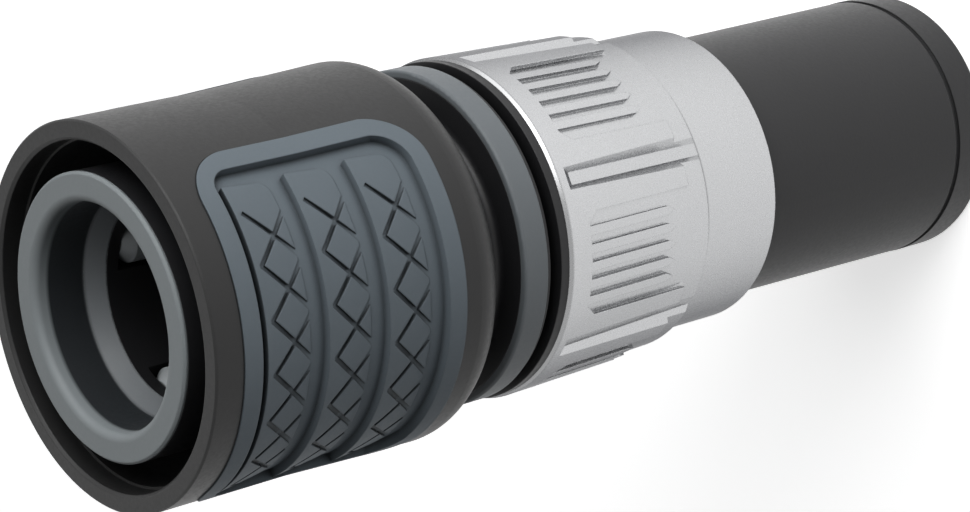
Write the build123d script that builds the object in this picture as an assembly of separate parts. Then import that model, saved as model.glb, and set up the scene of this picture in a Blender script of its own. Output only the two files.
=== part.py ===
from build123d import *
import os
from math import asin, atan2, degrees

# Garden hose quick connector. Millimetres, +Z from the hose end to the mouth.
# The origin is the centre of the hose end, on which the part stands.

# Clearances
bond_gap = 0.02
slide_gap = 0.10
cam_gap = 0.20
seat_gap = 0.05
tool_spare = 1.0

# Lengths, from the hose end up
end_ring_high = 3.9
groove_high = 0.6
tail_shown = 31.4
nut_collar_high = 8.8
nut_bevel_high = 0.8
nut_band_high = 17.64
lip_high = 0.91
nut_gap = 0.95
flange_high = 3.07
sleeve_travel = 3.0
travel_spare = 0.23
neck_high = 8.93
seat_ring_high = 1.2
spring_high = 8.8
guide_high = 3.5
claw_high = 3.1
web_high = 1.3
ledge_high = 1.7
mouth_deep = 5.1

# Heights that follow from them
nut_rear_z = tail_shown
nut_collar_top_z = nut_rear_z + nut_collar_high
nut_band_low_z = nut_collar_top_z + nut_bevel_high
nut_front_z = nut_band_low_z + nut_band_high
insert_front_z = nut_front_z + lip_high
flange_rear_z = insert_front_z + nut_gap
flange_front_z = flange_rear_z + flange_high
sleeve_rear_z = flange_front_z + sleeve_travel + travel_spare
neck_top_z = flange_front_z + neck_high
seat_ring_top_z = neck_top_z + seat_ring_high
chamber_top_z = seat_ring_top_z + spring_high
claw_low_z = chamber_top_z + guide_high + cam_gap
claw_top_z = claw_low_z + claw_high
ledge_low_z = claw_top_z + web_high
ledge_top_z = ledge_low_z + ledge_high
mouth_z = ledge_top_z + mouth_deep

# Socket body
socket_r = 8.8
socket_deep = 10.1
tube_wall = 2.45
tube_r = socket_r + tube_wall
nipple_nose_r = 6.9
neck_step = 0.65
neck_r = tube_r + neck_step
neck_round = 0.8
spigot_wall = 0.75
spigot_high = 2.7
skirt_bore_r = 11.2
skirt_wall = 1.5
skirt_r = skirt_bore_r + skirt_wall
skirt_high = 14.5
skirt_cone_wide = 0.9
skirt_cone_high = 4.0
skirt_low_z = flange_rear_z - skirt_high
rear_lip_high = 0.5
rear_lip_back = 0.27

# Nose collar and grey nose ring at the mouth
nose_wall = 1.21
nose_r = tube_r + nose_wall
nose_face = 0.4
nose_chamfer = 0.2
nose_step = 1.05
nose_bore_r = socket_r + nose_step
nose_bore_round = 0.7
liner_r = tube_r - spigot_wall - bond_gap

# Locking claws
claw_count = 4
claw_first_angle = -15.0
claw_bite = 1.1
claw_spare = 0.1
claw_tip_r = socket_r - claw_bite
claw_width = 4.4
claw_ramp = 1.0
claw_head_width = 6.4
claw_head_thick = 1.05
claw_head_r = tube_r + claw_head_thick
cam_slope = (claw_bite + claw_spare) / sleeve_travel

# Spring chamber
spring_wire = 1.2
spring_turns = 4.0
spring_clear = 0.6
spring_r = tube_r + spring_clear + spring_wire / 2
chamber_clear = 1.15
chamber_r = spring_r + spring_wire / 2 + chamber_clear

# Release sleeve
mouth_gap = 2.64
lip_bore_r = nose_r + mouth_gap
lip_wall = 1.73
sleeve_mid_r = lip_bore_r + lip_wall
sleeve_flare = 0.47
sleeve_rear_r = sleeve_mid_r + sleeve_flare
sleeve_chamfer = 0.15
waist_deep = 13.4
waist_z = mouth_z - waist_deep
shoulder_high = 3.4
shoulder_z = sleeve_rear_z + shoulder_high
rear_chamfer = 1.0
lip_bore_deep = 2.2
lip_round = 0.25
cam_deep = 5.2

# Grip pads
pad_half = 64.0
pad_setback = 2.75
pad_rear_gap = 5.0
pad_front_z = mouth_z - pad_setback
pad_rear_z = sleeve_rear_z + pad_rear_gap
pocket_deep = 1.13
pad_floor_r = sleeve_mid_r - pocket_deep
pad_proud = 0.12
pad_front_round = 4.6
pad_rear_round = 5.1
rim_wide = 1.8
rim_end_wide = 1.95
recess_deep = 0.9
recess_front_round = 1.9
recess_rear_round = 3.2
strip_count = 3
strip_trench = 0.6
strip_long = 4.75
strip_drop = 0.14
strip_foot = 0.14
strip_first_angle = 52.0
strip_last_angle = -57.5
strip_round = 1.2
cross_count = 7
cross_first_angle = 35.2
cross_pitch = 15.6
cross_back = 3.05
cross_long = 6.6
cross_wide = 0.44
cross_deep = 0.38

# Hose tail and its seal
pocket_r = 8.1
pocket_high = 3.9
pocket_above = 3.73
tail_bore_r = 4.8
tail_tube_wall = 1.4
tail_tube_r = tail_bore_r + tail_tube_wall
tail_long = 37.3
tail_head_high = 3.6
barb_rise = 0.55
barb_pitch = 5.5
barb_run = 3.6
barb_count = 4
seal_wire = 1.24
seal_land = 0.8
pocket_top_z = flange_front_z + pocket_above
tail_low_z = pocket_top_z - tail_long

# Threaded insert of the nut, inside the metal shell
insert_long = 14.95
insert_wall = 1.08
insert_bore_r = skirt_r + slide_gap
insert_r = insert_bore_r + insert_wall

# Compression nut, metal shell
nut_bore_r = insert_r + bond_gap
nut_wall = 1.12
nut_low_r = nut_bore_r + nut_wall
nut_flare = 0.42
nut_front_r = nut_low_r + nut_flare
nut_collar_step = 0.87
nut_collar_r = nut_low_r - nut_collar_step
nut_edge = 0.25
nut_turn = 1.4
panel_count = 6
raised = 0.4
root_cover = 0.5
front_band_high = 2.6
land_back = 15.2
pocket_half = 4.85
pocket_mouth_half = 3.85
pocket_taper = 1.1
rib_step = 5.93
rib_wide = 0.82
rib_back = 13.1
rib_count = 5
channel_back = 0.9
channel_ramp = 1.1
channel_half = 1.25
channel_tail_half = 1.75
channel_floor_half = 0.57
channel_deep = 0.6
channel_tail_deep = 0.95

# Black front lip of the insert, and the grey hoop on the flange beside it
lip_back = 0.24
insert_lip_r = nut_front_r + raised - lip_back
band_back = 0.13
band_r = insert_lip_r - band_back
band_thick = 0.7
band_round = 0.25

# Tail sleeve and its end ring
nut_collar_wall = 1.36
tail_taper = 0.0112
tail_low_r = nut_collar_r - nut_collar_wall - slide_gap + tail_taper * nut_rear_z
tail_sleeve_wall = 2.04
tail_bore_in_r = tail_low_r - tail_sleeve_wall
nut_shelf_high = 9.1
tail_flange_high = 1.8
nut_shelf_z = nut_rear_z + nut_shelf_high
tail_flange_low_z = nut_shelf_z + slide_gap
tail_flange_top_z = tail_flange_low_z + tail_flange_high
groove_deep = 0.22
end_ring_wall = 0.6
end_ring_spigot = 3.7
end_ring_round = 0.5

# Thrust washer and hose collet
washer_high = 0.95
washer_top_z = tail_flange_top_z + washer_high
collet_base_high = 1.7
collet_high = 11.65
collet_wall = 1.15
collet_gap = 0.25
collet_slots = 8
collet_slot_wide = 1.3


def turned(*points, arc=360.0):
    outline = Polyline(*[(r, 0, z) for r, z in points], close=True)
    return revolve(make_face(outline), Axis.Z, revolution_arc=arc)


def tube(in_r, out_r, low, high):
    return turned((in_r, low), (out_r, low), (out_r, high), (in_r, high))


def rims(shape, radius, z):
    found = []
    for edge in shape.edges().filter_by(GeomType.CIRCLE):
        if abs(edge.radius - radius) < 0.02 and abs(edge.arc_center.Z - z) < 0.02:
            found.append(edge)
    return found


def around(angle, shape):
    return Rot(0, 0, angle) * shape


def save(shape, name):
    export_step(shape, "parts/" + name + ".step")


def cam_r(z):
    return claw_head_r + cam_slope * (z - claw_low_z)


def pad_r(z):
    # Follows the sleeve: straight to the waist, then flared to the shoulder.
    share = max(0.0, waist_z - z) / (waist_z - shoulder_z)
    return sleeve_mid_r + share * sleeve_flare + pad_proud


def tail_r(z):
    return tail_low_r - tail_taper * z


def corner(round_r, half, side, z, inward):
    # Tool that rounds one corner of a curved pad.
    angle = half - degrees(asin(round_r / pad_r(z)))
    size = round_r + tool_spare
    reach = sleeve_mid_r / 2
    block = Pos(0, side * size / 2, -inward * size / 2) * Box(reach, size, size)
    block -= Rot(0, 90, 0) * Cylinder(round_r, reach + tool_spare)
    return around(side * angle, Pos(pad_r(z), 0, z + inward * round_r) * block)


def curved_plate(in_drop, out_drop, half, high, low, high_round, low_round):
    # A plate between two depths below the pad's face.
    levels = (low, waist_z, high)
    outline = [(pad_r(z) - out_drop, z) for z in levels]
    outline += [(pad_r(z) - in_drop, z) for z in reversed(levels)]
    plate = around(-half, turned(*outline, arc=2 * half))
    for side in (-1, 1):
        plate -= corner(high_round, half, side, high, -1)
        plate -= corner(low_round, half, side, low, 1)
    return plate


def pad_plate(out_drop, inset):
    half = pad_half - degrees(inset / pad_floor_r)
    high = pad_front_z - inset
    low = pad_rear_z + inset
    thick = pad_proud + pocket_deep - inset
    return curved_plate(thick, out_drop, half, high, low, pad_front_round, pad_rear_round)


def crossed_strip(high, low):
    # One shingle: tall at its mouth side, falling to the land, with crossed cuts.
    root_drop = recess_deep + cam_gap / 2
    foot_drop = recess_deep - strip_foot
    top = pad_r(high) - strip_drop
    foot = pad_r(low) - foot_drop
    span = strip_first_angle - strip_last_angle
    outline = [
        (pad_r(low) - root_drop, low),
        (foot, low),
        (top, high),
        (pad_r(high) - root_drop, high),
    ]
    strip = around(strip_last_angle, turned(*outline, arc=span))
    strip -= corner(strip_round, strip_first_angle, 1, low, 1)
    slope = degrees(atan2(top - foot, high - low))
    middle = high - cross_back
    surface = top - (top - foot) * cross_back / strip_long
    cuts = []
    for k in range(cross_count):
        for lean in (-45, 45):
            cut = Rot(lean, 0, 0) * Box(2 * cross_deep, cross_long, cross_wide)
            cut = Pos(surface, 0, middle) * Rot(0, slope, 0) * cut
            cuts.append(around(cross_first_angle - k * cross_pitch, cut))
    return strip - cuts


def grip_pad():
    front = pad_front_z - rim_wide
    rear = pad_rear_z + rim_wide
    half = pad_half - degrees(rim_end_wide / sleeve_mid_r)
    recess = curved_plate(
        recess_deep, -1, half, front, rear, recess_front_round, recess_rear_round
    )
    pad = pad_plate(0, bond_gap) - recess
    pitch = (front - strip_trench - rear) / strip_count
    for i in range(strip_count):
        high = front - strip_trench - i * pitch
        pad += crossed_strip(high, high - strip_long)
    return pad


def release_sleeve():
    chamber_low_z = neck_top_z - seat_gap
    cam_top_z = mouth_z - cam_deep
    cam_low_z = claw_low_z - cam_gap
    guide_r = tube_r + slide_gap
    rear_bore_r = neck_r + slide_gap
    body = turned(
        (sleeve_mid_r - sleeve_chamfer, mouth_z),
        (lip_bore_r + lip_round, mouth_z),
        (lip_bore_r, mouth_z - lip_round),
        (lip_bore_r, mouth_z - lip_bore_deep),
        (cam_r(cam_top_z) + cam_gap, mouth_z - lip_bore_deep),
        (cam_r(cam_top_z) + cam_gap, cam_top_z),
        (cam_r(cam_low_z) + cam_gap, cam_low_z),
        (guide_r, cam_low_z),
        (guide_r, chamber_top_z),
        (chamber_r, chamber_top_z),
        (chamber_r, chamber_low_z),
        (rear_bore_r, chamber_low_z),
        (rear_bore_r, sleeve_rear_z + rear_chamfer),
        (rear_bore_r + rear_chamfer, sleeve_rear_z),
        (sleeve_rear_r, sleeve_rear_z),
        (sleeve_rear_r, shoulder_z),
        (sleeve_mid_r, waist_z),
        (sleeve_mid_r, mouth_z - sleeve_chamfer),
    )
    edge = rims(body, sleeve_rear_r, sleeve_rear_z)
    body = fillet(edge, shoulder_high - seat_gap)
    pocket = pad_plate(-1, 0)
    return body - pocket - around(180, pocket)


def nose_ring():
    # Grey face and liner, with the ledge that stops the nipple.
    face_z = mouth_z - nose_face
    ring = turned(
        (nose_bore_r, mouth_z),
        (nose_r, mouth_z),
        (nose_r, face_z),
        (liner_r, face_z),
        (liner_r, ledge_low_z),
        (socket_r, ledge_low_z),
        (nose_bore_r, ledge_top_z),
    )
    ring = fillet(rims(ring, nose_bore_r, mouth_z), nose_bore_round)
    return chamfer(rims(ring, nose_r, mouth_z), nose_chamfer)


def nose_collar():
    skin_r = tube_r + slide_gap / 2
    top_z = mouth_z - nose_face
    spigot_top_z = ledge_low_z + spigot_high + slide_gap
    return turned(
        (liner_r + bond_gap, top_z),
        (nose_r, top_z),
        (nose_r, ledge_low_z),
        (skin_r, ledge_low_z),
        (skin_r, spigot_top_z),
        (liner_r + bond_gap, spigot_top_z),
    )


def socket_body():
    spigot_in_r = tube_r - spigot_wall
    hoop_seat_r = band_r - band_thick
    hoop_low_z = flange_rear_z + rear_lip_high
    room_top_z = pocket_top_z - pocket_high
    floor_z = ledge_low_z - socket_deep
    body = turned(
        (spigot_in_r, ledge_low_z + spigot_high),
        (tube_r, ledge_low_z + spigot_high),
        (tube_r, neck_top_z),
        (neck_r, neck_top_z),
        (neck_r, flange_front_z),
        (hoop_seat_r, flange_front_z),
        (hoop_seat_r, hoop_low_z),
        (band_r - rear_lip_back, hoop_low_z),
        (band_r - rear_lip_back, flange_rear_z),
        (skirt_r, flange_rear_z),
        (skirt_r, skirt_low_z),
        (skirt_bore_r + skirt_cone_wide, skirt_low_z),
        (skirt_bore_r, skirt_low_z + skirt_cone_high),
        (skirt_bore_r, room_top_z),
        (pocket_r, room_top_z),
        (pocket_r, pocket_top_z),
        (nipple_nose_r, pocket_top_z),
        (nipple_nose_r, floor_z - (socket_r - nipple_nose_r)),
        (socket_r, floor_z),
        (socket_r, ledge_low_z),
        (spigot_in_r, ledge_low_z),
    )
    body = fillet(rims(body, neck_r, flange_front_z), neck_round)
    for k in range(claw_count):
        body -= around(claw_angle(k), claw_window())
    return body


def claw_angle(k):
    return claw_first_angle + k * 360 / claw_count


def claw_window():
    wide = claw_width + 2 * slide_gap
    high = claw_high + 2 * slide_gap
    middle = claw_low_z + claw_high / 2
    return Pos(tube_r, 0, middle) * Box(2 * (tube_r - claw_tip_r), wide, high)


def locking_claw(angle):
    # A round tongue through the window, and a head that rides on the sleeve's cam.
    head_in_r = tube_r + slide_gap
    reach_r = cam_r(claw_top_z)
    tip = claw_width / 2
    long = reach_r - claw_tip_r - tip
    plan = Pos(reach_r - long / 2, 0) * Rectangle(long, claw_width)
    plan += Pos(claw_tip_r + tip, 0) * Circle(tip)
    blade = Pos(0, 0, claw_low_z) * extrude(plan, claw_high)
    blade = chamfer(rims(blade, tip, claw_top_z), claw_ramp)
    head = Box(reach_r - head_in_r, claw_head_width, claw_high)
    head = Pos((head_in_r + reach_r) / 2, 0, claw_low_z + claw_high / 2) * head
    low_r = cam_r(claw_low_z)
    cone = turned(
        (0, claw_low_z), (low_r, claw_low_z), (reach_r, claw_top_z), (0, claw_top_z)
    )
    return around(angle, (blade + head) & cone)


def flange_band():
    in_r = band_r - band_thick + bond_gap
    low = flange_rear_z + rear_lip_high + bond_gap
    hoop = tube(in_r, band_r, low, flange_front_z)
    return fillet(rims(hoop, band_r, flange_front_z), band_round)


def spring_seat_ring():
    in_r = tube_r + slide_gap / 2
    out_r = chamber_r - chamber_clear / 2
    return tube(in_r, out_r, neck_top_z, seat_ring_top_z)


def sleeve_spring():
    path = Helix(spring_high / spring_turns, spring_high, spring_r)
    section = Plane(path @ 0, z_dir=path % 0) * RegularPolygon(spring_wire / 2, 6)
    coil = Pos(0, 0, seat_ring_top_z) * sweep(section, path)
    ground = Cylinder(chamber_r, spring_high - 2 * seat_gap)
    return coil & Pos(0, 0, seat_ring_top_z + spring_high / 2) * ground


def hose_tail():
    head_r = pocket_r - slide_gap / 2
    groove_top_z = pocket_top_z - seal_land
    groove_low_z = groove_top_z - seal_wire - slide_gap
    head_low_z = pocket_top_z - tail_head_high
    points = [
        (tail_bore_r, pocket_top_z),
        (head_r, pocket_top_z),
        (head_r, groove_top_z),
        (head_r - seal_wire, groove_top_z),
        (head_r - seal_wire, groove_low_z),
        (head_r, groove_low_z),
        (head_r, head_low_z),
        (tail_tube_r, head_low_z),
    ]
    for k in range(barb_count):
        high = tail_low_z + (barb_count - k) * barb_pitch
        points.append((tail_tube_r, high))
        points.append((tail_tube_r + barb_rise, high))
        points.append((tail_tube_r, high - barb_run))
    points.append((tail_tube_r, tail_low_z))
    points.append((tail_bore_r, tail_low_z))
    return turned(*points)


def tail_seal():
    middle = pocket_top_z - seal_land - (seal_wire + slide_gap) / 2
    ring_r = pocket_r - slide_gap / 4 - seal_wire / 2
    return Pos(0, 0, middle) * Torus(ring_r, seal_wire / 2)


def nut_r(z):
    # The low level of the ribbed band, between its ribs.
    return nut_low_r + nut_flare * (z - nut_band_low_z) / nut_band_high


def nut_block(outline):
    # An outline, across and up, made solid through the wall of the nut.
    plane = Plane((nut_bore_r + root_cover, 0, 0), x_dir=(0, 1, 0), z_dir=(1, 0, 0))
    face = plane * make_face(Polyline(*outline, close=True))
    return extrude(face, sleeve_mid_r - nut_bore_r)


def nut_pocket():
    # What is cut away of one panel: a pocket with pointed ribs left standing.
    low = nut_front_z - land_back
    high = nut_front_z - front_band_high
    knee = high - pocket_taper
    pocket = nut_block([
        (-pocket_half, low), (pocket_half, low), (pocket_half, knee),
        (pocket_mouth_half, high), (-pocket_mouth_half, high), (-pocket_half, knee),
    ])
    core = turned(
        (0, nut_band_low_z),
        (nut_low_r, nut_band_low_z),
        (nut_front_r, nut_front_z),
        (0, nut_front_z),
    )
    pocket -= core
    tail = nut_front_z - rib_back
    half = rib_wide / 2
    rib = nut_block([
        (0, tail), (half, tail + rib_wide), (half, nut_front_z),
        (-half, nut_front_z), (-half, tail + rib_wide),
    ])
    for j in range(rib_count):
        pocket -= around((j - (rib_count - 1) / 2) * rib_step, rib)
    return pocket


def nut_channel():
    # A trough with sloping walls that opens at the rear of the band.
    front = nut_front_z - channel_back
    rear = nut_collar_top_z
    over = raised / 2
    front_r = nut_r(front) + raised
    rear_r = nut_r(nut_band_low_z) + raised
    top = Polyline(
        (front_r + over, -channel_half, front),
        (front_r + over, channel_half, front),
        (rear_r + over, channel_tail_half, rear),
        (rear_r + over, -channel_tail_half, rear),
        close=True,
    )
    floor_front = front - channel_ramp
    floor = Polyline(
        (front_r - channel_deep, -channel_floor_half, floor_front),
        (front_r - channel_deep, channel_floor_half, floor_front),
        (rear_r - channel_tail_deep, channel_floor_half, rear),
        (rear_r - channel_tail_deep, -channel_floor_half, rear),
        close=True,
    )
    return loft([make_face(top), make_face(floor)], ruled=True)


def nut_shell():
    rear_bore_r = tail_r(nut_rear_z) + slide_gap
    land_z = nut_front_z - land_back
    shell = turned(
        (nut_bore_r, nut_front_z),
        (nut_front_r + raised, nut_front_z),
        (nut_r(land_z) + raised, land_z),
        (nut_r(land_z), land_z),
        (nut_low_r, nut_band_low_z),
        (nut_collar_r, nut_collar_top_z),
        (nut_collar_r, nut_rear_z),
        (rear_bore_r, nut_rear_z),
        (rear_bore_r, nut_shelf_z),
        (nut_bore_r, nut_shelf_z),
    )
    shell = chamfer(rims(shell, nut_front_r + raised, nut_front_z), nut_edge)
    pocket = nut_pocket()
    channel = nut_channel()
    for k in range(panel_count):
        middle = nut_turn + k * 360 / panel_count
        shell -= around(middle, pocket)
        shell -= around(middle + 180 / panel_count, channel)
    return shell


def nut_insert():
    low = insert_front_z - insert_long
    seat = nut_front_z + bond_gap
    return turned(
        (insert_bore_r, insert_front_z),
        (insert_lip_r, insert_front_z),
        (insert_lip_r, seat),
        (insert_r, seat),
        (insert_r, low),
        (insert_bore_r, low),
    )


def tail_sleeve():
    low = end_ring_high + groove_high
    flange_r = nut_bore_r - cam_gap
    return turned(
        (tail_bore_in_r, low),
        (tail_r(low), low),
        (tail_r(tail_flange_low_z), tail_flange_low_z),
        (flange_r, tail_flange_low_z),
        (flange_r, tail_flange_top_z),
        (tail_bore_in_r, tail_flange_top_z),
    )


def tail_end_ring():
    groove_r = tail_low_r - groove_deep
    shoulder_z = end_ring_high + groove_high
    spigot_r = tail_bore_in_r - bond_gap
    ring = turned(
        (spigot_r - end_ring_wall, 0),
        (tail_low_r, 0),
        (tail_low_r, end_ring_high),
        (groove_r, end_ring_high),
        (groove_r, shoulder_z),
        (spigot_r, shoulder_z),
        (spigot_r, shoulder_z + end_ring_spigot),
        (spigot_r - end_ring_wall, shoulder_z + end_ring_spigot),
    )
    return fillet(rims(ring, tail_low_r, 0), end_ring_round)


def thrust_washer():
    out_r = nut_bore_r - cam_gap
    return tube(tail_bore_in_r, out_r, tail_flange_top_z, washer_top_z)


def hose_collet():
    tip_r = skirt_bore_r - collet_gap
    cone_r = tip_r + skirt_cone_wide
    bore_r = tip_r - collet_wall
    shelf_z = washer_top_z + collet_base_high
    top_z = washer_top_z + collet_high
    collet = turned(
        (bore_r, washer_top_z),
        (cone_r + collet_gap, washer_top_z),
        (cone_r + collet_gap, shelf_z),
        (cone_r, shelf_z),
        (tip_r, skirt_low_z + skirt_cone_high - collet_gap),
        (tip_r, top_z),
        (bore_r, top_z),
    )
    slot = Box(3 * cone_r, collet_slot_wide, collet_high)
    slot = Pos(0, 0, shelf_z + collet_high / 2) * slot
    for k in range(collet_slots // 2):
        collet -= around(k * 360 / collet_slots, slot)
    return collet


os.makedirs("parts", exist_ok=True)
pad = grip_pad()
save(pad, "grip_pad_1")
save(around(180, pad), "grip_pad_2")
for k in range(claw_count):
    save(locking_claw(claw_angle(k)), "locking_claw_" + str(k + 1))
save(release_sleeve(), "release_sleeve")
save(nose_ring(), "nose_ring")
save(nose_collar(), "nose_collar")
save(socket_body(), "socket_body")
save(flange_band(), "flange_band")
save(spring_seat_ring(), "spring_seat_ring")
save(sleeve_spring(), "sleeve_spring")
save(hose_tail(), "hose_tail")
save(tail_seal(), "tail_seal")
save(nut_shell(), "nut_shell")
save(nut_insert(), "nut_insert")
save(tail_sleeve(), "tail_sleeve")
save(tail_end_ring(), "tail_end_ring")
save(thrust_washer(), "thrust_washer")
save(hose_collet(), "hose_collet")
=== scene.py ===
import math

import bpy
from mathutils import Matrix, Vector

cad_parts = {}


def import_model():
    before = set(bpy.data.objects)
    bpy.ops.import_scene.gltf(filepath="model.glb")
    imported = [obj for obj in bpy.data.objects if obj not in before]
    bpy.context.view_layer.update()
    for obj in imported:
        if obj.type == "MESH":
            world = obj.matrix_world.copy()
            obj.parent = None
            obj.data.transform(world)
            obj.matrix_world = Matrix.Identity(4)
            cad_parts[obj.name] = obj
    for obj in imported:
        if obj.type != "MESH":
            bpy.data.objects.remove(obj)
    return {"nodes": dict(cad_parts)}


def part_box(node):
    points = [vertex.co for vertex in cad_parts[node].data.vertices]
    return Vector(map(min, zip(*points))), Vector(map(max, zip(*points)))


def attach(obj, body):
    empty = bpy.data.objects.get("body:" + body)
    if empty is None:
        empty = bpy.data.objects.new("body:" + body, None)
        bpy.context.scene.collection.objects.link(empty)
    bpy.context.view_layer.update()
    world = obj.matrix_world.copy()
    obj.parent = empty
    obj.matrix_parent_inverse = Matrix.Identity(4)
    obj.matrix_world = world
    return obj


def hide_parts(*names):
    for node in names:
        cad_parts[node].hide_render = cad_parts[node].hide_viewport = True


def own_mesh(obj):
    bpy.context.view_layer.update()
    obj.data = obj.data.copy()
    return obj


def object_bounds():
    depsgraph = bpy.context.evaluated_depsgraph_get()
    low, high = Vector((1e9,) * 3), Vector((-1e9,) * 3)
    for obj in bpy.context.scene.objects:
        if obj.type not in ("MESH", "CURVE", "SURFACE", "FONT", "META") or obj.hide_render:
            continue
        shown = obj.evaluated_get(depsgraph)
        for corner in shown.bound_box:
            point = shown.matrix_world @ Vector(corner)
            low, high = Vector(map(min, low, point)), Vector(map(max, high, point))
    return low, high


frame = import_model()
nodes = frame["nodes"]
cad_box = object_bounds()

# Camera: its place and axes in the part's frame, in metres, and its lens in millimetres
CAMERA_PLACE = Vector((0.19397, 0.08784, 0.22476))
CAMERA_RIGHT = Vector((0.6512, 0.0279, -0.7584))
CAMERA_UP = Vector((-0.2702, 0.9424, -0.1973))
CAMERA_LENS = 109.97
CAMERA_SENSOR = 36.0
CAMERA_NEAR = 0.01
CAMERA_FAR = 20

# Colours
SLEEVE_BLACK = (0.0118, 0.0118, 0.012)
BODY_BLACK = (0.010, 0.010, 0.011)
TAIL_BLACK = (0.030, 0.030, 0.031)
GRIP_GREY = (0.092, 0.110, 0.125)
RING_GREY = (0.168, 0.186, 0.193)
HOOP_GREY = (0.100, 0.111, 0.119)
# Painted shade in the nose ring's bore: its wall black and its ledge a darker grey
BORE_SHADE_BLACK = (0.012, 0.014, 0.016)
LEDGE_SHADE_GREY = (0.125, 0.135, 0.143)
CLAW_GREY = (0.30, 0.32, 0.33)
NUT_SILVER = (0.45, 0.454, 0.462)
NUT_GLANCE = (0.36, 0.36, 0.37)
SPRING_STEEL = (0.45, 0.45, 0.46)
SEAL_BLACK = (0.010, 0.010, 0.010)

# Edges: samples, and the cosine between soft and true normal where an edge starts and is full
EDGE_SAMPLES = 4
EDGE_START = 0.98
EDGE_FULL = 0.75

# Wear and painted highlight on edges: the span of a noise over which they come in
WEAR_AND_HIGHLIGHT_SPAN = (0.35, 0.65)

# Painted shade in inner corners: samples, and how open a place is where the painted shade is full
# and where it ends
CORNER_SHADE_SAMPLES = 6
CORNER_SHADE_SPAN = (0.25, 0.85)

# Plastics, tone: its noise (scale, detail), and the darkest and lightest tone
PLASTIC_TONE = (60, 2)
PLASTIC_TINT = (0.92, 1.08)

# Plastics, grain: its noise (detail, roughness), spread of the roughness, bump (strength, height)
PLASTIC_GRAIN = (2, 0.7)
PLASTIC_ROUGH_SPREAD = 0.05
PLASTIC_BUMP = (0.25, 0.00004)

# Plastics, edges lighter as wear and painted highlight: how much of them shows, and what is added to
# their colour
PLASTIC_WEAR_AND_HIGHLIGHT = 0.8
PLASTIC_WEAR_AND_HIGHLIGHT_LIFT = 0.012

# Nut, tone: its noise (scale, detail), and the darkest and lightest tone
NUT_TONE = (90, 3)
NUT_TINT = (0.97, 1.03)

# Nut, grain: its noise (scale, detail, roughness), least and most roughness, bump (strength, height)
NUT_GRAIN = (5000, 2, 0.6)
NUT_ROUGH = (0.24, 0.32)
NUT_BUMP = (0.05, 0.00001)

# Nut, edges and inner corners: the edges' radius, their wear and painted highlight and its
# brightness, and the painted corner shade (reach, tone)
NUT_EDGE = 0.0001
NUT_WEAR_AND_HIGHLIGHT = 0.7
NUT_WEAR_AND_HIGHLIGHT_LIFT = 1.5
NUT_CORNER_SHADE = (0.0008, 0.9)

# Spring wire: noise of the grain (scale, detail), darkest and lightest tone, roughness
WIRE_GRAIN = (1500, 2)
WIRE_TINT = (0.9, 1.1)
WIRE_ROUGH = (0.25, 0.4)

# Nut: the painted shade line's tone and where it fades, and the tone and depths of the painted shade
# on the front edge
SHADE_LINE_TONE = 0.55
SHADE_LINE_REACH = (0.00004, 0.00022)
FRONT_SHADE_TONE = 0.72
FRONT_SHADE_FADE = 0.00045
FRONT_SHADE_FULL = 0.0003

# Light: the pale wall on its two sides, and what lifts the floor to white
WALL_LIGHT = 0.30
WALL_SHADE = 0.03
WALL_SIDE = (0.26, 0.97, 0.0)
WALL_SPREAD = (-0.6, 0.8)
FLOOR_WHITE = (0.85, 0.85, 0.85)
FLOOR_LIFT = 0.65
FLOOR_HALF = 3.0
FLOOR_BESIDE = Vector((0.035, 0.075, 0.0))

# Lamps: azimuth and height in degrees, distance and size in metres, power in watts
KEY = (86, 30, 0.5, (0.8, 0.6), 2.85)
FILL = (60, 20, 0.9, (0.5, 0.4), 0.9)
FLOOR_LIGHT = (75, 60, 0.22, (0.12, 0.12), 0.2)

# Lengths of the part that the scene needs, in metres
# Heights in the nose ring where the painted shade of its ledge turns black, and where its own grey
# starts
LEDGE_TOP = 0.0923
BORE_SHADE_TOP = 0.0960
ZONE_FADE = 0.0002
COLLAR_HIGH = 0.0088
SKIRT_R = 0.0127
SPRING_R = 0.01245
SPRING_WIRE_R = 0.0006
SPRING_TURNS = 4
SPRING_STEPS = 288
SPRING_SIDES = 14

# Thread: its lengths in metres, how far its ridge is sunk, and its taper at both ends
THREAD_LONG = 0.0125
THREAD_START = 0.0010
THREAD_PITCH = 0.0025
THREAD_BASE_R = 0.01268
THREAD_TOP_R = 0.01276
THREAD_SINK = 0.0001
THREAD_FOOT = 0.0008
THREAD_CREST = 0.0004
THREAD_STEPS = 400
THREAD_TAPER = 12.0

# Thread in the skirt's material: its bump (strength, height), and its flank as a share of the pitch
THREAD_BUMP = (1.0, 0.0006)
THREAD_FLANK = (0.1, 0.4)

# Depth below the skirt's outer wall at which that thread fades in and is full
THREAD_WALL_FADE = 0.0004
THREAD_WALL_FULL = 0.0002


def linked(name, data):
    # A new object of the scene, made of the data.
    thing = bpy.data.objects.new(name, data)
    bpy.context.collection.objects.link(thing)
    return thing


def camera():
    data = bpy.data.cameras.new("camera")
    data.sensor_width = CAMERA_SENSOR
    data.lens = CAMERA_LENS
    data.clip_start = CAMERA_NEAR
    data.clip_end = CAMERA_FAR
    thing = linked("camera", data)
    right = CAMERA_RIGHT.normalized()
    back = right.cross(CAMERA_UP).normalized()
    up = back.cross(right)
    turn = Matrix((right, up, back)).transposed()
    thing.matrix_world = Matrix.Translation(CAMERA_PLACE) @ turn.to_4x4()
    bpy.context.scene.camera = thing


def emptied(holder):
    # The node tree of a material or a world, with nothing in it.
    holder.use_nodes = True
    holder.node_tree.nodes.clear()
    return holder.node_tree


def node_tree(name):
    material = bpy.data.materials.new(name)
    tree = emptied(material)
    shader = tree.nodes.new("ShaderNodeBsdfPrincipled")
    output = tree.nodes.new("ShaderNodeOutputMaterial")
    tree.links.new(shader.outputs[0], output.inputs[0])
    return material, tree, shader


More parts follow.
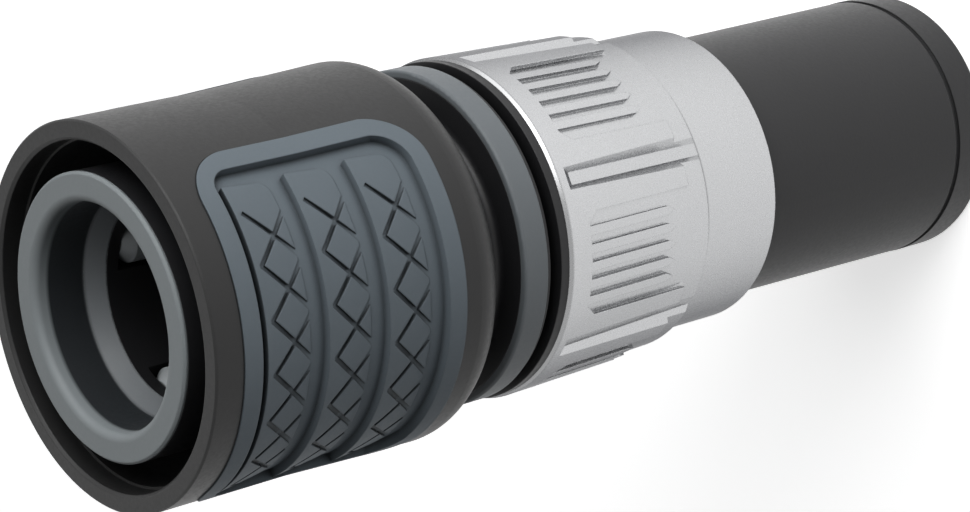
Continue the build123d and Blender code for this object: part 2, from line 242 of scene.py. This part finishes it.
def plug(tree, socket, value):
    # Links an input to an output, or sets it to a number or a colour.
    if isinstance(value, bpy.types.NodeSocket):
        tree.links.new(value, socket)
    elif isinstance(value, float):
        socket.default_value = value
    else:
        socket.default_value = (*value, 1)


def noise(tree, scale, detail, roughness=0.55):
    place = tree.nodes.new("ShaderNodeTexCoord")
    texture = tree.nodes.new("ShaderNodeTexNoise")
    texture.inputs["Scale"].default_value = scale
    texture.inputs["Detail"].default_value = detail
    texture.inputs["Roughness"].default_value = roughness
    tree.links.new(place.outputs["Object"], texture.inputs["Vector"])
    return texture.outputs["Fac"]


def axes(tree):
    # The place on a piece, in the part's frame at rest, as outputs X, Y and Z.
    place = tree.nodes.new("ShaderNodeTexCoord")
    split = tree.nodes.new("ShaderNodeSeparateXYZ")
    tree.links.new(place.outputs["Object"], split.inputs[0])
    return split.outputs


def calculate(tree, operation, first, second=0.0):
    # One step of arithmetic, on outputs or numbers.
    node = tree.nodes.new("ShaderNodeMath")
    node.operation = operation
    plug(tree, node.inputs[0], first)
    plug(tree, node.inputs[1], second)
    return node.outputs[0]


def ramp(tree, value, low, high, start=0.3, end=0.7):
    # From low to high while the value goes from start to end, and level outside them.
    spread = tree.nodes.new("ShaderNodeMapRange")
    spread.inputs["From Min"].default_value = start
    spread.inputs["From Max"].default_value = end
    spread.inputs["To Min"].default_value = low
    spread.inputs["To Max"].default_value = high
    tree.links.new(value, spread.inputs["Value"])
    return spread.outputs["Result"]


def mixed(tree, first, second, share, blend="MIX"):
    # Two colours laid over each other, each an output or three numbers.
    mix = tree.nodes.new("ShaderNodeMix")
    mix.data_type = "RGBA"
    mix.blend_type = blend
    plug(tree, mix.inputs["Factor"], share)
    plug(tree, mix.inputs["A"], first)
    plug(tree, mix.inputs["B"], second)
    return mix.outputs["Result"]


def tint(tree, colour, value, low, high):
    # The colour, darker and lighter as the value goes.
    return mixed(tree, [c * low for c in colour], [c * high for c in colour], value)


def soft_edges(tree, radius):
    # A normal that rounds sharp edges, and how near an edge the place is.
    bevel = tree.nodes.new("ShaderNodeBevel")
    bevel.samples = EDGE_SAMPLES
    bevel.inputs["Radius"].default_value = radius
    place = tree.nodes.new("ShaderNodeNewGeometry")
    dot = tree.nodes.new("ShaderNodeVectorMath")
    dot.operation = "DOT_PRODUCT"
    tree.links.new(bevel.outputs["Normal"], dot.inputs[0])
    tree.links.new(place.outputs["Normal"], dot.inputs[1])
    edge = ramp(tree, dot.outputs["Value"], 1.0, 0.0, EDGE_FULL, EDGE_START)
    return bevel.outputs["Normal"], edge


def worn_and_highlit(tree, colour, edge, patches, share, wear_and_highlight_colour):
    # Lighter on edges, part wear and part painted highlight, broken up by a noise.
    broken = ramp(tree, patches, 0.0, share, *WEAR_AND_HIGHLIGHT_SPAN)
    return mixed(tree, colour, wear_and_highlight_colour, calculate(tree, "MULTIPLY", edge, broken))


def painted_corner_shade(tree, colour, distance, least):
    # Painted shade: darker in grooves and inner corners, where little light comes.
    occlusion = tree.nodes.new("ShaderNodeAmbientOcclusion")
    occlusion.samples = CORNER_SHADE_SAMPLES
    occlusion.inputs["Distance"].default_value = distance
    tone = ramp(tree, occlusion.outputs["AO"], least, 1.0, *CORNER_SHADE_SPAN)
    return mixed(tree, colour, tone, 1.0, "MULTIPLY")


def bump(tree, height, normal, strength, distance):
    node = tree.nodes.new("ShaderNodeBump")
    node.inputs["Strength"].default_value = strength
    node.inputs["Distance"].default_value = distance
    tree.links.new(height, node.inputs["Height"])
    tree.links.new(normal, node.inputs["Normal"])
    return node.outputs["Normal"]


def by_height(tree, colour, *changes):
    # One colour after the other along the part's axis: the lowest, then each from its height up.
    z = axes(tree)["Z"]
    for height, above in changes:
        step = ramp(tree, z, 0.0, 1.0, height - ZONE_FADE, height + ZONE_FADE)
        colour = mixed(tree, colour, above, step)
    return colour


def thread(tree, outside, low, high, pitch):
    # The height of a screw thread round the part's axis, on the outer wall only.
    x, y, z = axes(tree)
    turn = calculate(tree, "DIVIDE", calculate(tree, "ARCTAN2", y, x), math.tau)
    along = calculate(tree, "SUBTRACT", calculate(tree, "DIVIDE", z, pitch), turn)
    ridge = calculate(tree, "PINGPONG", along, 0.5)
    x_square = calculate(tree, "MULTIPLY", x, x)
    y_square = calculate(tree, "MULTIPLY", y, y)
    reach = calculate(tree, "SQRT", calculate(tree, "ADD", x_square, y_square))
    keep = ramp(tree, reach, 0.0, 1.0, outside - THREAD_WALL_FADE, outside - THREAD_WALL_FULL)
    keep = calculate(tree, "MULTIPLY", keep, ramp(tree, z, 0.0, 1.0, low, low + pitch / 2))
    keep = calculate(tree, "MULTIPLY", keep, ramp(tree, z, 1.0, 0.0, high - pitch / 2, high))
    return calculate(tree, "MULTIPLY", ramp(tree, ridge, 0.0, 1.0, *THREAD_FLANK), keep)


def moulded(
    name,
    colour,
    rough,
    grain,
    gloss=0.3,
    radius=0.00015,
    edge_wear_and_highlight=1.6,
    corner_shade=(0.0015, 0.25),
    zones=None,
    screw=None,
):
    # Moulded plastic or rubber: a fine spark-eroded grain, on a slow change of tone or on zones,
    # with painted shade in inner corners and edges lighter as wear and painted highlight.
    material, tree, shader = node_tree(name)
    shader.inputs["Specular IOR Level"].default_value = gloss
    fine = noise(tree, grain, *PLASTIC_GRAIN)
    normal, edge = soft_edges(tree, radius)
    if zones:
        plain = by_height(tree, *zones)
    else:
        plain = tint(tree, colour, noise(tree, *PLASTIC_TONE), *PLASTIC_TINT)
    wear_and_highlight_colour = [c * edge_wear_and_highlight + PLASTIC_WEAR_AND_HIGHLIGHT_LIFT for c in colour]
    # Inner corners darkened as painted shade, edges lighter as wear and painted highlight.
    colour_with_painted_light = painted_corner_shade(tree, worn_and_highlit(tree, plain, edge, fine, PLASTIC_WEAR_AND_HIGHLIGHT, wear_and_highlight_colour), *corner_shade)
    rough_value = ramp(tree, fine, rough - PLASTIC_ROUGH_SPREAD, rough + PLASTIC_ROUGH_SPREAD)
    if screw:
        normal = bump(tree, thread(tree, *screw), normal, *THREAD_BUMP)
    plug(tree, shader.inputs["Base Color"], colour_with_painted_light)
    plug(tree, shader.inputs["Roughness"], rough_value)
    plug(tree, shader.inputs["Normal"], bump(tree, fine, normal, *PLASTIC_BUMP))
    return material


def satin_metal(corner, front):
    # Satin metal, with a painted dark shade line in the corner of cone and collar and its front edge
    # darkened as painted shade over the highlight there.
    material, tree, shader = node_tree("satin_metal")
    shader.inputs["Metallic"].default_value = 1.0
    plug(tree, shader.inputs["Specular Tint"], NUT_GLANCE)
    tone = noise(tree, *NUT_TONE)
    fine = noise(tree, *NUT_GRAIN)
    normal, edge = soft_edges(tree, NUT_EDGE)
    plain = tint(tree, NUT_SILVER, tone, *NUT_TINT)
    wear_and_highlight_colour = [c * NUT_WEAR_AND_HIGHLIGHT_LIFT for c in NUT_SILVER]
    # Inner corners darkened as painted shade, edges lighter as wear and painted highlight.
    colour_with_painted_light = painted_corner_shade(tree, worn_and_highlit(tree, plain, edge, tone, NUT_WEAR_AND_HIGHLIGHT, wear_and_highlight_colour), *NUT_CORNER_SHADE)
    height = axes(tree)["Z"]
    # Painted shade: a dark line round the corner of cone and collar.
    off = calculate(tree, "ABSOLUTE", calculate(tree, "SUBTRACT", height, corner))
    shade_line = ramp(tree, off, SHADE_LINE_TONE, 1.0, *SHADE_LINE_REACH)
    # Painted shade: the front edge darker, to tone down its highlight.
    front_shade = ramp(tree, height, 1.0, FRONT_SHADE_TONE, front - FRONT_SHADE_FADE, front - FRONT_SHADE_FULL)
    painted_shade_marks = calculate(tree, "MULTIPLY", shade_line, front_shade)
    plug(tree, shader.inputs["Base Color"], mixed(tree, colour_with_painted_light, painted_shade_marks, 1.0, "MULTIPLY"))
    plug(tree, shader.inputs["Roughness"], ramp(tree, fine, *NUT_ROUGH))
    plug(tree, shader.inputs["Normal"], bump(tree, fine, normal, *NUT_BUMP))
    return material


def drawn_wire():
    material, tree, shader = node_tree("drawn_wire")
    shader.inputs["Metallic"].default_value = 1.0
    fine = noise(tree, *WIRE_GRAIN)
    plug(tree, shader.inputs["Base Color"], tint(tree, SPRING_STEEL, fine, *WIRE_TINT))
    plug(tree, shader.inputs["Roughness"], ramp(tree, fine, *WIRE_ROUGH))
    return material


def dress(material, *names):
    for name in names:
        slots = nodes[name].data.materials
        slots.clear()
        slots.append(material)


def swept(name, rings, material, body):
    # One closed skin over rings of points that follow each other.
    sides = len(rings[0])
    last = (len(rings) - 1) * sides
    faces = [tuple(range(sides)), tuple(last + s for s in reversed(range(sides)))]
    for first in range(0, last, sides):
        for s in range(sides):
            a, b = first + s, first + (s + 1) % sides
            faces.append((b, a, a + sides, b + sides))
    mesh = bpy.data.meshes.new(name)
    mesh.from_pydata([point for ring in rings for point in ring], [], faces)
    mesh.materials.append(material)
    thing = linked(name, mesh)
    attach(thing, body)
    return thing


def spring():
    # The round wire of the spring, ground flat at both ends.
    low, high = [corner[2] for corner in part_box("sleeve_spring")]
    rings = []
    for k in range(SPRING_STEPS + 1):
        turn = math.tau * SPRING_TURNS * k / SPRING_STEPS
        middle_z = low + (high - low) * k / SPRING_STEPS
        ring = []
        for s in range(SPRING_SIDES):
            around = math.tau * s / SPRING_SIDES
            r = SPRING_R + SPRING_WIRE_R * math.cos(around)
            z = middle_z + SPRING_WIRE_R * math.sin(around)
            ring.append((r * math.cos(turn), r * math.sin(turn), min(high, max(low, z))))
        rings.append(ring)
    coil = swept("spring_coil", rings, drawn_wire(), "socket_group")
    coil.data.shade_smooth()
    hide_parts("sleeve_spring")
    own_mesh(coil)


def skirt_thread(material):
    # The ridge of the right-hand thread, low enough for the gap between skirt and insert.
    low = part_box("socket_body")[0][2] + THREAD_START
    high = low + THREAD_LONG - 2 * THREAD_START
    steps = THREAD_STEPS
    sunk_r = THREAD_BASE_R - THREAD_SINK
    rings = []
    for k in range(steps + 1):
        z = low + (high - low) * k / steps
        turn = math.tau * (z / THREAD_PITCH - 0.5)
        share = min(1.0, THREAD_TAPER * k / steps, THREAD_TAPER * (steps - k) / steps)
        top = THREAD_BASE_R + (THREAD_TOP_R - THREAD_BASE_R) * share
        section = [
            (sunk_r, -THREAD_FOOT),
            (top, -THREAD_CREST),
            (top, THREAD_CREST),
            (sunk_r, THREAD_FOOT),
        ]
        rings.append([(r * math.cos(turn), r * math.sin(turn), z + off) for r, off in section])
    swept("skirt_thread", rings, material, "socket_group")


def materials():
    skirt_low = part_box("socket_body")[0][2]
    screw = (SKIRT_R, skirt_low, skirt_low + THREAD_LONG, THREAD_PITCH)
    # The nose ring: a darker ledge and a black bore wall as painted shade, its own grey at the face
    zones = (LEDGE_SHADE_GREY, (LEDGE_TOP, BORE_SHADE_BLACK), (BORE_SHADE_TOP, RING_GREY))
    soft = {"gloss": 0.2, "radius": 0.0002, "edge_wear_and_highlight": 1.1, "corner_shade": (0.0009, 0.05)}
    sleeve = moulded("sleeve_plastic", SLEEVE_BLACK, 0.44, 2600)
    body = moulded("body_plastic", BODY_BLACK, 0.42, 2200)
    threaded = moulded("threaded_plastic", BODY_BLACK, 0.42, 2200, screw=screw)
    tail = moulded("tail_plastic", TAIL_BLACK, 0.40, 2600, gloss=0.15)
    grip = moulded("grip_rubber", GRIP_GREY, 0.62, 3200, **soft)
    ring = moulded("ring_plastic", RING_GREY, 0.52, 2600, radius=0.0002, zones=zones)
    hoop = moulded("hoop_plastic", HOOP_GREY, 0.52, 2600, radius=0.0002)
    claw = moulded("claw_plastic", CLAW_GREY, 0.45, 2200)
    seal = moulded("seal_rubber", SEAL_BLACK, 0.55, 2200)
    dress(sleeve, "release_sleeve")
    dress(threaded, "socket_body")
    skirt_thread(body)
    dress(body, "nose_collar", "nut_insert", "spring_seat_ring", "hose_tail", "tail_end_ring")
    dress(tail, "tail_sleeve")
    dress(grip, "grip_pad_1", "grip_pad_2")
    dress(ring, "nose_ring")
    dress(hoop, "flange_band")
    dress(claw, "thrust_washer", "hose_collet")
    dress(claw, *["locking_claw_%d" % k for k in range(1, 5)])
    dress(seal, "tail_seal")
    nut_low, nut_high = [corner[2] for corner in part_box("nut_shell")]
    dress(satin_metal(nut_low + COLLAR_HIGH, nut_high), "nut_shell")


def seen(tree):
    # Whether a ray comes from the camera, or from it by gloss or glass.
    path = tree.nodes.new("ShaderNodeLightPath").outputs
    value = path["Is Camera Ray"]
    for name in ("Is Glossy Ray", "Is Transmission Ray"):
        value = calculate(tree, "MAXIMUM", value, path[name])
    return value


def floor():
    # Pale and lit as all else, and raised towards white where the camera sees it.
    material = bpy.data.materials.new("floor_white")
    tree = emptied(material)
    output = tree.nodes.new("ShaderNodeOutputMaterial")
    shade = tree.nodes.new("ShaderNodeBsdfDiffuse")
    glow = tree.nodes.new("ShaderNodeEmission")
    both = tree.nodes.new("ShaderNodeAddShader")
    plug(tree, shade.inputs["Color"], FLOOR_WHITE)
    plug(tree, glow.inputs["Strength"], calculate(tree, "MULTIPLY", seen(tree), FLOOR_LIFT))
    tree.links.new(shade.outputs[0], both.inputs[0])
    tree.links.new(glow.outputs[0], both.inputs[1])
    tree.links.new(both.outputs[0], output.inputs[0])
    mesh = bpy.data.meshes.new("floor")
    half = FLOOR_HALF
    corners = [(-half, -half, 0), (half, -half, 0), (half, half, 0), (-half, half, 0)]
    mesh.from_pydata(corners, [], [(0, 1, 2, 3)])
    mesh.materials.append(material)
    plane = linked("floor", mesh)


def world():
    # A pale wall all round, lighter on the side of the lamps, and white where it is seen.
    scene_world = bpy.data.worlds.new("studio")
    bpy.context.scene.world = scene_world
    tree = emptied(scene_world)
    output = tree.nodes.new("ShaderNodeOutputWorld")
    sky = tree.nodes.new("ShaderNodeBackground")
    place = tree.nodes.new("ShaderNodeTexCoord")
    side = tree.nodes.new("ShaderNodeVectorMath")
    side.operation = "DOT_PRODUCT"
    side.inputs[1].default_value = WALL_SIDE
    tree.links.new(place.outputs["Generated"], side.inputs[0])
    light = ramp(tree, side.outputs["Value"], WALL_SHADE, WALL_LIGHT, *WALL_SPREAD)
    white = tree.nodes.new("ShaderNodeMix")
    plug(tree, white.inputs["Factor"], seen(tree))
    plug(tree, white.inputs["A"], light)
    plug(tree, white.inputs["B"], 1.0)
    tree.links.new(white.outputs["Result"], sky.inputs["Color"])
    tree.links.new(sky.outputs[0], output.inputs[0])


def lamp(name, azimuth, height, distance, size, power, aim):
    # A soft box, placed by its azimuth and height above the horizon in degrees.
    data = bpy.data.lights.new(name, "AREA")
    data.shape = "RECTANGLE"
    data.size, data.size_y = size
    data.energy = power
    thing = linked(name, data)
    a = math.radians(azimuth)
    h = math.radians(height)
    away = Vector((math.cos(a) * math.cos(h), math.sin(a) * math.cos(h), math.sin(h)))
    thing.location = aim + away * distance
    thing.rotation_mode = "QUATERNION"
    thing.rotation_quaternion = (-away).to_track_quat("-Z", "Y")
    thing.visible_camera = False


camera()
materials()
spring()
floor()
world()
middle = (cad_box[0] + cad_box[1]) / 2
lamp("key", *KEY, middle)
lamp("fill", *FILL, middle)
lamp("floor_light", *FLOOR_LIGHT, FLOOR_BESIDE)

bpy.context.scene.view_settings.view_transform = "Standard"
